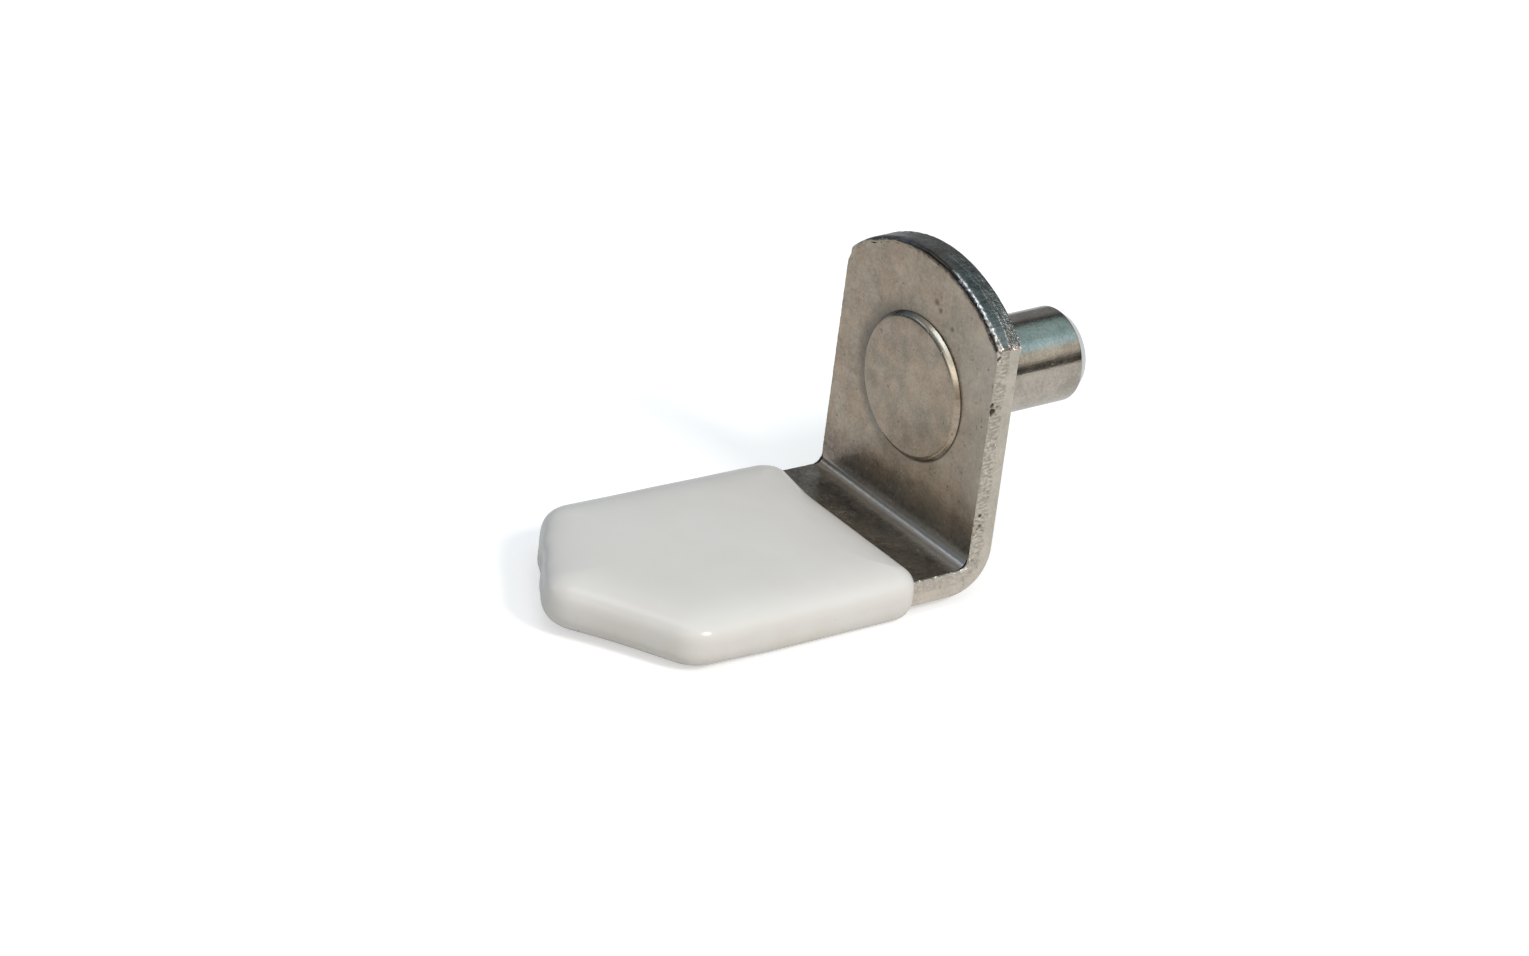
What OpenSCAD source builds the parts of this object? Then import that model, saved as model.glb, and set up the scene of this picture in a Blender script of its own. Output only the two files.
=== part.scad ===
// Shelf support pin: a folded steel bracket on a headed pin, with a cushion sleeve over its tongue.
// The pin goes into a drilled hole in a cabinet side, and the shelf lies on the sleeve.
// Origin on the pin axis at the back face of the upright. +Z is up and the pin points along +Y.

/* [Pin] */
// Diameter of the shank
pin_d = 5; // [4.6:0.05:6.4]
// Length of the shank behind the upright
pin_len = 8.35; // [6:0.05:12]
// Length of the lead-in chamfer at the free end
pin_lead = 0.65; // [0.3:0.05:1.2]
// Depth of the lead-in chamfer
pin_lead_depth = 0.5; // [0.2:0.05:0.8]
// Diameter of the tenon that is riveted through the upright
tenon_d = 4; // [3:0.05:4.4]
// Diameter of the flat riveted head
head_d = 7.9; // [7:0.05:9.6]
// Height of the head above the sheet
head_h = 0.35; // [0.3:0.05:1]
// Radius on the rim of the head
head_round = 0.25; // [0.1:0.01:0.29]
// Gap between the tenon and its hole, all round
tenon_fit = 0.02; // [0:0.01:0.1]

/* [Bracket] */
// Width of the strip
plate_w = 12.7; // [10:0.1:14.6]
// Thickness of the sheet
sheet_t = 1.5; // [1.2:0.05:2]
// Height of the pin axis above the top face of the tongue
pin_height = 7.5; // [6.5:0.1:12]
// Height of the straight sides above the pin axis
side_h = 5; // [4:0.1:8]
// Radius of the crowned top
crown_r = 8.9; // [7.8:0.1:14]
// Radius of the rolled edge that the punch leaves round the front of the crown
edge_roll = 0.25; // [0.1:0.01:0.4]
// Inside radius of the bend
bend_in = 0.5; // [0.3:0.05:1.5]
// Outside radius of the bend, where the sheet stretches
bend_out = 2.4; // [1.5:0.05:3]
// Length of the tongue's straight sides, from the back of the upright
tongue_side = 18.55; // [14:0.05:28]
// Length of the pointed tip beyond the straight sides, measured to the sharp point
tip_len = 3.95; // [2:0.05:6]
// Corner radius in plan at the tip and at its two shoulders
tip_round = 1.65; // [0.8:0.05:2]

/* [Sleeve] */
// Thickness of the sleeve under the tongue, and over it along the edges
sleeve_face = 0.55; // [0.4:0.05:1]
// Height of the pillowed middle of the top above those edges
sleeve_crown = 0.4; // [0.1:0.05:0.6]
// Width of the slope from the outer edge of the sleeve to that middle
sleeve_slope = 2.4; // [1.5:0.1:3.5]
// Thickness of the sleeve round the edge of the tongue
sleeve_edge = 0.65; // [0.4:0.05:1]
// Extra thickness at the point, where the dipped sleeve ran down
sleeve_point = 0.35; // [0:0.05:0.6]
// Bare length of tongue between the upright and the sleeve
sleeve_gap = 2.9; // [1.6:0.1:6]
// Radius on the outer edges of the sleeve
sleeve_round = 0.95; // [0.5:0.05:1]

/* [Hidden] */
$fn = 96;

// Faces on the corners of the sleeve's hull
hull_fn = 32;

// Room that a cutting shape takes past the face that it cuts
overcut = 1;
// Top face of the tongue, seen from the pin axis
tongue_z = -pin_height;
// Inner face of the upright
inner_y = -sheet_t;
// Centre of the crown's arc, whose ends meet the straight sides
crown_z = side_h - sqrt(crown_r * crown_r - plate_w * plate_w / 4);
// Height above which the crown's disc bounds the upright
crown_foot = max(crown_z, tongue_z + bend_in);
// Size of the sheet before its outline is cut
sheet_top = crown_z + crown_r + overcut;
sheet_low = tongue_z - sheet_t;
sheet_reach = tongue_side + tip_len + overcut;
sheet_w = plate_w + 2 * overcut;
// Corners of the strip in plan: shoulder, point and shoulder of the tip, then the rear
strip_plan = [
    [-plate_w / 2, -tongue_side],
    [0, -tongue_side - tip_len],
    [plate_w / 2, -tongue_side],
    [plate_w / 2, overcut],
    [-plate_w / 2, overcut]
];
// Corners of the tip in that list, and how far each one's sleeve runs on along the tongue
tip_corners = [0, 1, 2];
tip_runs = [0, sleeve_point, 0];
// Edge radius of the sleeve, which its own thickness limits
sleeve_t = sheet_t + 2 * sleeve_face;
sleeve_r = min(sleeve_round, sleeve_t / 2);
// Rear rim of the sleeve, and its rear corners
sleeve_y = inner_y - sleeve_gap;
rear_x = plate_w / 2 + sleeve_edge - sleeve_r;

function unit(v) = v / norm(v);
// Corner i of the plan, and the corners on either side of it
function corner(i) = strip_plan[(i + len(strip_plan)) % len(strip_plan)];
// Unit vectors along the two edges that leave corner i
function edge_back(i) = unit(corner(i - 1) - corner(i));
function edge_on(i) = unit(corner(i + 1) - corner(i));
// Sine and cosine of half the angle at corner i
function half_sin(i) = sqrt((1 - edge_back(i) * edge_on(i)) / 2);
function half_cos(i) = sqrt((1 + edge_back(i) * edge_on(i)) / 2);
// Point at a distance from both edges of corner i
function inset_corner(i, distance) = corner(i) + unit(edge_back(i) + edge_on(i)) * distance / half_sin(i);
// Centre of the arc that rounds corner i, and how far from the corner it starts
function arc_centre(i) = inset_corner(i, tip_round);
function arc_reach(i) = tip_round * half_cos(i) / half_sin(i);
// Ends of that arc
function arc_ends(i) = [corner(i) + edge_back(i) * arc_reach(i), corner(i) + edge_on(i) * arc_reach(i)];

// Rectangle from its low corner to its high corner, rounded where x is highest and y is lowest
module leg_corner(low, high, r) {
    translate(low)
        square([high[0] - low[0] - r, high[1] - low[1]]);
    translate([low[0], low[1] + r])
        square([high[0] - low[0], high[1] - low[1] - r]);
    translate([high[0] - r, low[1] + r])
        circle(r);
}

// Side view of the folded sheet, with the depth along x and the height along y
module fold_section() {
    difference() {
        leg_corner([-sheet_reach, sheet_low], [0, sheet_top], bend_out);
        leg_corner([-sheet_reach - overcut, tongue_z], [inner_y, sheet_top + overcut], bend_in);
    }
}

// Plan of the strip, with the three corners of its tip rounded
module strip_outline() {
    polygon(concat(
        [for (i = tip_corners) each arc_ends(i)],
        [corner(3), corner(4)]
    ));
    for (i = tip_corners)
        translate(arc_centre(i))
            circle(tip_round);
}

// Half section of the disc whose rolled rim forms the crown
module crown_section() {
    translate([0, edge_roll])
        square([crown_r, sheet_t + overcut - edge_roll]);
    square([crown_r - edge_roll, sheet_t + overcut]);
    translate([crown_r - edge_roll, edge_roll])
        circle(edge_roll);
}

// Room that the strip keeps below its crown, and the disc that rounds it off above
module crown_limit() {
    translate([-sheet_w / 2, -sheet_reach, sheet_low - overcut])
        cube([sheet_w, sheet_reach + overcut, crown_foot - sheet_low + overcut]);
    translate([0, inner_y, crown_z])
        rotate([-90, 0, 0])
            rotate_extrude()
                crown_section();
}

// Folded strip with its outline cut
module strip() {
    intersection() {
        rotate([90, 0, 90])
            linear_extrude(sheet_w, center = true)
                fold_section();
        translate([0, 0, sheet_low - overcut])
            linear_extrude(sheet_top - sheet_low + 2 * overcut)
                strip_outline();
        crown_limit();
    }
}

// One stamped and folded strip, drilled for the tenon of the pin
module bracket() {
    color("#988c80")
        difference() {
            strip();
            translate([0, inner_y - overcut, 0])
                rotate([-90, 0, 0])
                    cylinder(h = sheet_t + 2 * overcut, d = tenon_d + 2 * tenon_fit);
        }
}

// Half section of the pin, with its radius along x and its axis along y
module pin_section() {
    head_y = inner_y - head_h;
    polygon([
        [0, head_y],
        [head_d / 2 - head_round, head_y],
        [head_d / 2, head_y + head_round],
        [head_d / 2, inner_y],
        [tenon_d / 2, inner_y],
        [tenon_d / 2, 0],
        [pin_d / 2, 0],
        [pin_d / 2, pin_len - pin_lead],
        [pin_d / 2 - pin_lead_depth, pin_len],
        [0, pin_len]
    ]);
    translate([head_d / 2 - head_round, head_y + head_round])
        intersection() {
            circle(head_round);
            translate([0, -head_round])
                square(head_round);
        }
}

// Pin with its shoulder on the back of the upright and its riveted head on the inner face
module pin() {
    color("#a8a094")
        rotate([-90, 0, 0])
            rotate_extrude()
                pin_section();
}

// Ring that rounds a corner of the sleeve, of outer radius r in plan
module sleeve_corner(centre, r) {
    for (z = [tongue_z + sleeve_face - sleeve_r, tongue_z - sheet_t - sleeve_face + sleeve_r])
        translate([centre[0], centre[1], z])
            rotate_extrude($fn = hull_fn)
                intersection() {
                    translate([r - sleeve_r, 0])
                        circle(sleeve_r, $fn = hull_fn);
                    translate([0, -sleeve_r])
                        square([r, 2 * sleeve_r]);
                }
}

// Flat middle of the sleeve's top, on which the shelf lies
module sleeve_middle() {
    inset = sleeve_slope - sleeve_edge;
    rear = [plate_w / 2 - inset, sleeve_y - sleeve_slope];
    translate([0, 0, tongue_z])
        linear_extrude(sleeve_face + sleeve_crown)
            polygon(concat(
                [for (i = tip_corners) inset_corner(i, inset)],
                [rear, [-rear[0], rear[1]]]
            ));
}

// Soft sleeve, moulded round the tongue and open at the rear
module cushion_sleeve() {
    color("#dcdad4")
        difference() {
            hull() {
                for (i = tip_corners)
                    sleeve_corner(arc_centre(i) - [0, tip_runs[i]], tip_round + sleeve_edge);
                for (side = [-1, 1])
                    sleeve_corner([side * rear_x, sleeve_y - sleeve_r], sleeve_r);
                sleeve_middle();
            }
            strip();
        }
}

bracket();
pin();
cushion_sleeve();
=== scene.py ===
import math

import bmesh
import bpy
import numpy as np
from mathutils import Matrix, Vector, noise


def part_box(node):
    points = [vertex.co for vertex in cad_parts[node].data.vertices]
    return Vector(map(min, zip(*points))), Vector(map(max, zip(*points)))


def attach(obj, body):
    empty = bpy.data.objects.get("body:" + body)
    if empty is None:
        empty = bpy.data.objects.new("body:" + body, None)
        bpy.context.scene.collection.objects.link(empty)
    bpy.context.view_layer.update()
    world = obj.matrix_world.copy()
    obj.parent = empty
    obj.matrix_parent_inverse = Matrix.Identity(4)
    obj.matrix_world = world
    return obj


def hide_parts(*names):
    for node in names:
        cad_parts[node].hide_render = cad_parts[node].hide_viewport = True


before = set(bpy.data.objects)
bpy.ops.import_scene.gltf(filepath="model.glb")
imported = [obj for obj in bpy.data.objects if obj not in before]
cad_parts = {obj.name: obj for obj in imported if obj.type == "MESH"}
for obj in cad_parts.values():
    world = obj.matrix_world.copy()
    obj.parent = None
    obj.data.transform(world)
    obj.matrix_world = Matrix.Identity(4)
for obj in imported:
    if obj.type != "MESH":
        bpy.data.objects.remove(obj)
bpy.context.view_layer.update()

MM = 0.001


def box_mm(node):
    """Lowest and highest corner of a CAD node, in millimetres."""
    low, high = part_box(node)
    return np.array(low) / MM, np.array(high) / MM


# Sizes that the frame gives, in millimetres
BRACKET_LOW, BRACKET_HIGH = box_mm("bracket")
PIN_LOW, PIN_HIGH = box_mm("pin")
SLEEVE_LOW, SLEEVE_HIGH = box_mm("cushion_sleeve")
HALF_W = BRACKET_HIGH[0]
TONGUE_LOW = BRACKET_LOW[2]
HEAD_R = PIN_HIGH[0]
FLOOR_Z = SLEEVE_LOW[2]

# Sizes inside the boxes, in millimetres
SHEET_T = 1.5
BEND_IN = 0.5
BEND_OUT = 2.4
CROWN_R = 8.9
CROWN_ROLL = 0.3
TIP_LEN = 3.95
TIP_ROUND = 1.65
PIN_R = 2.5
PIN_LEAD = 0.65
PIN_LEAD_DEPTH = 0.5
TENON_R = 2.0
TENON_FIT = 0.02
# Slope round the head, and the rounding of its upper edge
HEAD_BEVEL = 0.2
HEAD_ROUND = 0.2

# Places that follow from them
TONGUE_TOP = TONGUE_LOW + SHEET_T
CROWN_Z = BRACKET_HIGH[2] - CROWN_R
SIDE_TOP = CROWN_Z + math.sqrt(CROWN_R**2 - HALF_W**2)
TIP_ANGLE = math.atan2(TIP_LEN, HALF_W)
TIP_Y = BRACKET_LOW[1] + TIP_ROUND
SHOULDER_X = HALF_W - TIP_ROUND
SHOULDER_Y = TIP_Y + SHOULDER_X * math.tan(TIP_ANGLE)
SLEEVE_EDGE = SLEEVE_HIGH[0] - HALF_W
SLEEVE_REAR = SLEEVE_HIGH[1]
SLEEVE_POINT = BRACKET_LOW[1] - SLEEVE_EDGE - SLEEVE_LOW[1]

# Camera fitted to the photograph, in degrees, millimetres and pixels of its frame
PHOTO_W = 1529
FOCAL_PX = 8000
CAMERA_AZ = 50.416
CAMERA_EL = 27.543
CAMERA_ROLL = 7.523
CAMERA_DISTANCE = 400.99
CAMERA_TARGET = Vector((2.908, -12.737, -1.468))
SENSOR_MM = 36.0
# Nearest distance that the camera sees, in metres
CLIP_START = 0.01


def spread(*parts):
    """Stacks coordinates of any shapes into one array of points."""
    return np.stack(np.broadcast_arrays(*parts), -1).astype(float)


def bell(x, width):
    """1 at 0, and less on both sides of it, over a width."""
    return np.exp(-((x / width) ** 2))


def chord(radius, x):
    """Half the chord of a circle at x, and 0 outside it."""
    return np.sqrt(np.maximum(radius**2 - x**2, 0.0))


def smoothstep(low, high, x):
    """0 below low, 1 above high, and a soft step between them."""
    t = np.clip((x - low) / (high - low), 0.0, 1.0)
    return t * t * (3.0 - 2.0 * t)


def noise_at(points, scale, seed=0.0):
    """Smooth noise between about -1 and 1 at an array of points."""
    flat = np.asarray(points, float).reshape(-1, 3) * scale + seed
    values = [noise.noise(Vector(p)) for p in flat]
    return np.array(values).reshape(np.shape(points)[:-1])


def put(name, data):
    """Adds an object to the scene."""
    made = bpy.data.objects.new(name, data)
    bpy.context.collection.objects.link(made)
    return made


class Shell:
    """Collects grids of points in millimetres, and welds them into one closed mesh."""

    # Reach of the weld, and thickness of a sliver that is dropped
    weld = 2e-4
    sliver = 2e-5

    def __init__(self):
        self.points = []
        self.faces = []
        self.edge = []
        self.count = 0

    def grid(self, points, edge=0.0):
        """Adds the quads between the rows of an array of shape rows x columns x 3."""
        rows, columns = points.shape[:2]
        index = np.arange(rows * columns).reshape(rows, columns) + self.count
        quads = np.stack([index[:-1, :-1], index[:-1, 1:], index[1:, 1:], index[1:, :-1]], -1)
        self.points.append(points.reshape(-1, 3))
        self.faces.append(quads.reshape(-1, 4))
        self.edge.append(np.broadcast_to(edge, (rows, columns)).ravel())
        self.count += rows * columns

    def build(self, name):
        mesh = bpy.data.meshes.new(name)
        points = np.vstack(self.points) * MM
        mesh.from_pydata(points.tolist(), [], np.vstack(self.faces).tolist())
        edge = np.concatenate(self.edge)
        if edge.any():
            mesh.attributes.new("edge", "FLOAT", "POINT").data.foreach_set("value", edge)
        made = bmesh.new()
        made.from_mesh(mesh)
        bmesh.ops.remove_doubles(made, verts=made.verts, dist=self.weld * MM)
        bmesh.ops.dissolve_degenerate(made, edges=made.edges, dist=self.sliver * MM)
        bmesh.ops.recalc_face_normals(made, faces=made.faces)
        made.to_mesh(mesh)
        made.free()
        mesh.shade_smooth()
        return put(name, mesh)


def arc(centre, radius, start, end, count):
    """Points on an arc, between two angles in degrees."""
    angles = np.radians(np.linspace(start, end, count))
    return np.stack([centre[0] + radius * np.cos(angles), centre[1] + radius * np.sin(angles)], -1)


def tip_y(x, grow):
    """Front edge of the tongue's plan at x, with the outline moved out by grow."""
    across = np.abs(x)
    r = TIP_ROUND + grow
    reach = r * math.sin(TIP_ANGLE)
    point = TIP_Y - chord(r, across)
    slant = TIP_Y - r / math.cos(TIP_ANGLE) + across * math.tan(TIP_ANGLE)
    shoulder = SHOULDER_Y - chord(r, across - SHOULDER_X)
    return np.where(across <= reach, point, np.where(across <= SHOULDER_X + reach, slant, shoulder))


# Slopes of the tongue's slight rise to its tip, which is more on the far side, and how softly it sets in
TONGUE_RISE = 0.0154
TONGUE_TWIST = 0.0019
RISE_EASE = 0.8


def settle(points):
    """Lifts the points of the tongue and its sleeve by the rise that the bend left in it."""
    reach = np.maximum(-BEND_OUT - points[..., 1], 0.0)
    reach = reach * reach / (reach + RISE_EASE)
    moved = points.copy()
    moved[..., 2] += reach * (TONGUE_RISE - TONGUE_TWIST * points[..., 0])
    return moved


# Bracket: the flat blank is meshed and then folded
BEND_TOP = TONGUE_LOW + BEND_OUT
BEND_LEN = 2.6
# Flat length v of the blank at y = 0 of the tongue
TONGUE_V = BEND_TOP - BEND_LEN + BEND_OUT
# Where the blank's rows start to follow the crown, and the tip under the sleeve
CROWN_BASE = -1.0
UNDER_SLEEVE = 0.6
TIP_BASE = TONGUE_V + SLEEVE_REAR - UNDER_SLEEVE
# Rows along the blank and columns across it
ROW_STEP = 0.05
TIP_ROWS = 25
BEND_ROWS = 52
CROWN_ROWS = 124
BLANK_COLUMNS = 72
# Points through its edge: on the front roll, the cut and the back roll
FRONT_STEPS = 8
CUT_STEPS = 26
BACK_STEPS = 6
# Corner between the crown and the sides, and its least radius when inset
CORNER_R = 0.25
CORNER_LEAST = 1e-4
# Radii of the edges: the crown was punched from the front, the sides were slit from the back
SIDE_ROLL = 0.06
BEND_ROLL = 0.2
TONGUE_ROLL = 0.11
SIDE_BACK = 0.2
CROWN_BACK = 0.04
ROLL_RUN = 0.8
# Unevenness of the crown's roll: share, line through the noise, and waves as scale, strength and seed
ROLL_UNEVEN = 0.28
ROLL_LINE = 0.3
ROLL_WAVES = ((0.9, 1.0, 0.0), (4.1, 1.1, 4.0))
# The same along a side: share, scale and seed
SIDE_UNEVEN = 0.4
SIDE_SCALE = 2.7
SIDE_SEED = 7.0
# Sheared surface: share of the sheet that tore, and the blend, height and scale of its wavy border
TORN_SHARE = 0.52
TORN_BLEND = 0.12
TORN_WAVE = 0.15
TORN_WAVE_SCALE = (1.7, 0.0, 5.1)
# Grain of the torn surface: depth, share that stands proud, and layers of scales, strength and seed
TORN_GRAIN = 0.07
TORN_PROUD = 0.25
TORN_LAYERS = (((4.0, 2.0, 7.0), 1.0, 0.0), ((8.0, 5.0, 7.0), 0.6, 3.0))
CROWN_GRAIN = 0.04
CROWN_PROUD = 0.3
CROWN_LAYERS = (((6.0, 6.0, 7.0), 1.0, 0.0), ((11.0, 11.0, 7.0), 0.5, 3.0))
# Nicks along each side: place along the blank, place in its thickness, size and depth
NICKS = 18
NICK_SEED = 11
NICK_LEAST = (-6.0, 0.06, 0.05, 0.02)
NICK_MOST = (4.4, 0.75, 0.10, 0.07)
NICK_SPOTS = (
    (4.74, 0.10, 0.10, 0.10),
    (4.40, 0.10, 0.11, 0.13),
    (1.83, 0.06, 0.10, 0.13),
    (1.49, 0.17, 0.12, 0.14),
    (-0.75, 0.95, 0.10, 0.09),
)
# Stretch of a nick through the thickness, and the depth at which it is fully marked
NICK_STRETCH = 1.4
NICK_FULL = 0.1
# Metal pushed out at the inside of the bend's two ends, and how closely it gathers there
BULGE = 0.11
BULGE_GATHER = 1.3
# Edge value of a smooth cut, which a tear and a nick add to, and where on the roll it sets in
EDGE_VALUE = 0.5
EDGE_FROM = (0.3, 0.9)
# Hole for the tenon: its sides, and how far the cutter reaches past the sheet
HOLE_SIDES = 96
HOLE_PAST = 0.5


def fold(u, v, depth):
    """Folds the flat blank: u across, v along it, depth below its inner face."""
    k = np.clip((BEND_TOP - v) / BEND_LEN, 0.0, 1.0)
    straight = BEND_OUT - SHEET_T - BEND_IN
    s = k * (2 * straight + BEND_IN * math.pi / 2)
    turn = np.clip((s - straight) / BEND_IN, 0.0, math.pi / 2)
    run = np.maximum(s - straight - BEND_IN * math.pi / 2, 0.0)
    drop = np.minimum(s, straight)
    in_y = -SHEET_T - BEND_IN * (1 - np.cos(turn)) - run
    in_z = BEND_TOP - drop - BEND_IN * np.sin(turn)
    out_y = -BEND_OUT * (1 - np.cos(k * math.pi / 2))
    out_z = BEND_TOP - BEND_OUT * np.sin(k * math.pi / 2)
    part = depth / SHEET_T
    y = in_y + (out_y - in_y) * part - np.maximum(BEND_TOP - BEND_LEN - v, 0.0)
    z = in_z + (out_z - in_z) * part + np.maximum(v - BEND_TOP, 0.0)
    return settle(spread(u, y, z))


def crown_v(u, inset):
    """Height of the crown at u, with its outline moved in, and its two corners rounded."""
    radius = CROWN_R - inset
    corner = np.maximum(CORNER_R - inset, CORNER_LEAST)
    middle = HALF_W - inset - corner
    level = CROWN_Z + chord(radius - corner, middle)
    across = np.abs(u)
    top = CROWN_Z + chord(radius, across)
    round_off = level + chord(corner, across - middle)
    return np.where(across > middle * radius / (radius - corner), round_off, top)


# Ends of the blank that a row of its mesh follows
TIP, STRAIGHT, CROWN = 0, 1, 2


def blank_rows():
    """Rows along the blank: the end that each follows, and its place."""
    rows = [(TIP, s) for s in np.linspace(1, 0, TIP_ROWS + 1)[:-1]]
    rows += [(STRAIGHT, v) for v in np.arange(TIP_BASE, BEND_TOP - BEND_LEN, ROW_STEP)]
    rows += [(STRAIGHT, v) for v in np.linspace(BEND_TOP - BEND_LEN, BEND_TOP, BEND_ROWS + 1)]
    rows += [(STRAIGHT, v) for v in np.arange(BEND_TOP + ROW_STEP, CROWN_BASE, ROW_STEP)]
    rows += [(CROWN, s) for s in np.linspace(0, 1, CROWN_ROWS + 1)]
    return np.array(rows).T


ROW_END, ROW_PLACE = blank_rows()
COLUMNS = np.sin(np.linspace(-math.pi / 2, math.pi / 2, BLANK_COLUMNS + 1))


def blank_v(end, place, u, inset):
    """Place along the blank of points on its rows."""
    tip = TIP_BASE + place * (TONGUE_V + tip_y(u, -inset) - TIP_BASE)
    crown = CROWN_BASE + place * (crown_v(u, inset) - CROWN_BASE)
    return np.select([end == TIP, end == CROWN], [tip, crown], place)


def layered(points, layers):
    """Sum of layers of noise, each with its scales, strength and seed."""
    return sum(strength * noise_at(points, scales, seed) for scales, strength, seed in layers)


def crown_roll(u):
    """Radius of the roll that the punch left along the crown, a little uneven."""
    waves = (share * noise_at(spread(u, ROLL_LINE, seed), scale) for scale, share, seed in ROLL_WAVES)
    return CROWN_ROLL * (1 + ROLL_UNEVEN * sum(waves))


def near_corner(v):
    """0 along the sides, and 1 where they meet the crown."""
    return smoothstep(SIDE_TOP - ROLL_RUN, SIDE_TOP - CORNER_R, v)


def side_roll(v, side):
    """Radius of the front edge along a side, which grows into the crown's roll and at the bend."""
    bent = np.sin(math.pi * np.clip((BEND_TOP - v) / BEND_LEN, 0.0, 1.0)) ** 2
    on_tongue = smoothstep(BEND_TOP - BEND_LEN / 2, BEND_TOP - BEND_LEN, v)
    ragged = SIDE_ROLL * (1 + SIDE_UNEVEN * noise_at(spread(v, side, SIDE_SEED), SIDE_SCALE))
    ragged = ragged + (TONGUE_ROLL - SIDE_ROLL) * on_tongue + (BEND_ROLL - SIDE_ROLL) * bent
    return ragged + (crown_roll(side * HALF_W) - ragged) * near_corner(v)


def side_back(v, side):
    """Radius of the back edge along a side."""
    return SIDE_BACK + (CROWN_BACK - SIDE_BACK) * near_corner(v)


def blank_face(depth, side_inset, crown_inset):
    """One face of the folded blank as a grid."""
    end, place = ROW_END[:, None], ROW_PLACE[:, None]
    v = blank_v(end, place, HALF_W, 0.0)
    low = side_inset(v, -1.0) - HALF_W
    high = HALF_W - side_inset(v, 1.0)
    u = low + (high - low) * (COLUMNS + 1) / 2
    return fold(u, blank_v(end, place, u, crown_inset(u)), depth)


def edge_steps():
    """Steps round the blank's edge: front roll and back roll as angles, and the share between them."""
    quarter = math.pi / 2
    steps = [(a, 0.0, 0.0) for a in np.linspace(0, quarter, FRONT_STEPS)]
    steps += [(quarter, 0.0, s) for s in np.linspace(0, 1, CUT_STEPS)[1:-1]]
    steps += [(quarter, a, 1.0) for a in np.linspace(0, quarter, BACK_STEPS)]
    return np.array(steps).T[:, :, None]


def edge_loop():
    """End, place and side of each point round the blank: tip, right side, crown and left side."""
    count = len(ROW_END)
    side = np.arange(count)
    across = COLUMNS[::-1][1:]
    tip = np.zeros(len(COLUMNS), int)
    crown = np.full(len(across), count - 1)
    rows = np.concatenate([tip, side[1:], crown, side[-2::-1]])
    sides = np.concatenate([COLUMNS, np.ones(count - 1), across, -np.ones(count - 1)])
    return ROW_END[rows], ROW_PLACE[rows], sides


def nicks(v, depth, side):
    """Depth of the small nicks in the torn part of the sides."""
    chance = np.random.default_rng(NICK_SEED)
    spots = [(1.0, *spot) for spot in NICK_SPOTS]
    for own in (-1.0, 1.0):
        spots += [(own, *chance.uniform(NICK_LEAST, NICK_MOST)) for _ in range(NICKS)]
    sunk = np.zeros(np.broadcast(v, depth).shape)
    for own, at_v, at_depth, size, deep in spots:
        off = ((v - at_v) / size) ** 2 + ((depth - at_depth) / (NICK_STRETCH * size)) ** 2
        sunk += np.where(side == own, deep * np.exp(-off), 0.0)
    return sunk


def blank_edge():
    """The closed edge of the folded blank as a grid of loops.

    Its edge values mark where it is a smooth cut, where it tore and where a nick is.
    """
    front, back, share = edge_steps()
    end, place, side = edge_loop()
    on_side = np.abs(side) == 1.0
    v = blank_v(end, place, HALF_W, 0.0)
    crown = crown_roll(side * HALF_W)
    roll = np.where(on_side, side_roll(v, side), crown)
    rear = np.where(on_side, side_back(v, side), CROWN_BACK)
    depth = roll * (1 - np.cos(front)) + (SHEET_T - roll - rear) * share + rear * np.sin(back)
    inset = roll * (1 - np.sin(front)) + rear * (1 - np.cos(back))
    crown_inset = crown * (1 - np.sin(front)) + CROWN_BACK * (1 - np.cos(back))

    along = np.where(on_side, v, side * HALF_W)
    place_3d = spread(along, depth, side * on_side)
    torn_line = TORN_SHARE * SHEET_T + TORN_WAVE * noise_at(place_3d, TORN_WAVE_SCALE)
    torn = smoothstep(-TORN_BLEND, TORN_BLEND, (depth - torn_line) * np.where(on_side, -1.0, 1.0))
    torn = torn * smoothstep(0.0, 1.0, np.sin(front)) * np.cos(back)
    scaly = TORN_GRAIN * np.maximum(layered(place_3d, TORN_LAYERS) + TORN_PROUD, 0.0)
    grainy = CROWN_GRAIN * np.maximum(layered(place_3d, CROWN_LAYERS) + CROWN_PROUD, 0.0)
    rough = torn * np.where(on_side, scaly, grainy)
    in_bend = BULGE_GATHER * ((BEND_TOP - v) / BEND_LEN - 0.5) + 0.5
    swell = np.sin(math.pi * np.clip(in_bend, 0.0, 1.0)) ** 2
    swell = BULGE * swell * (1 - depth / SHEET_T) ** 2
    straight = on_side & (end != TIP)
    sunk = np.where(straight, nicks(v, depth, side) * torn, 0.0)
    inset = inset + sunk + np.where(straight, rough - swell, 0.0)
    crown_inset = crown_inset + np.where(on_side, 0.0, rough)

    u = side * (HALF_W - inset)
    points = fold(u, blank_v(end, place, u, crown_inset), depth)
    edge = (1 + torn) * smoothstep(*EDGE_FROM, np.sin(front)) + np.clip(sunk / NICK_FULL, 0.0, 1.0)
    edge = EDGE_VALUE * edge
    return np.concatenate([points, points[:, :1]], 1), np.concatenate([edge, edge[:, :1]], 1)


def make_bracket():
    """The folded strip: its two faces, its edge and the hole for the pin."""
    shell = Shell()
    shell.grid(blank_face(0.0, side_roll, crown_roll))
    shell.grid(blank_face(SHEET_T, side_back, lambda u: CROWN_BACK))
    shell.grid(*blank_edge())
    piece = shell.build("bracket_strip")
    drill_hole(piece)
    return piece


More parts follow.
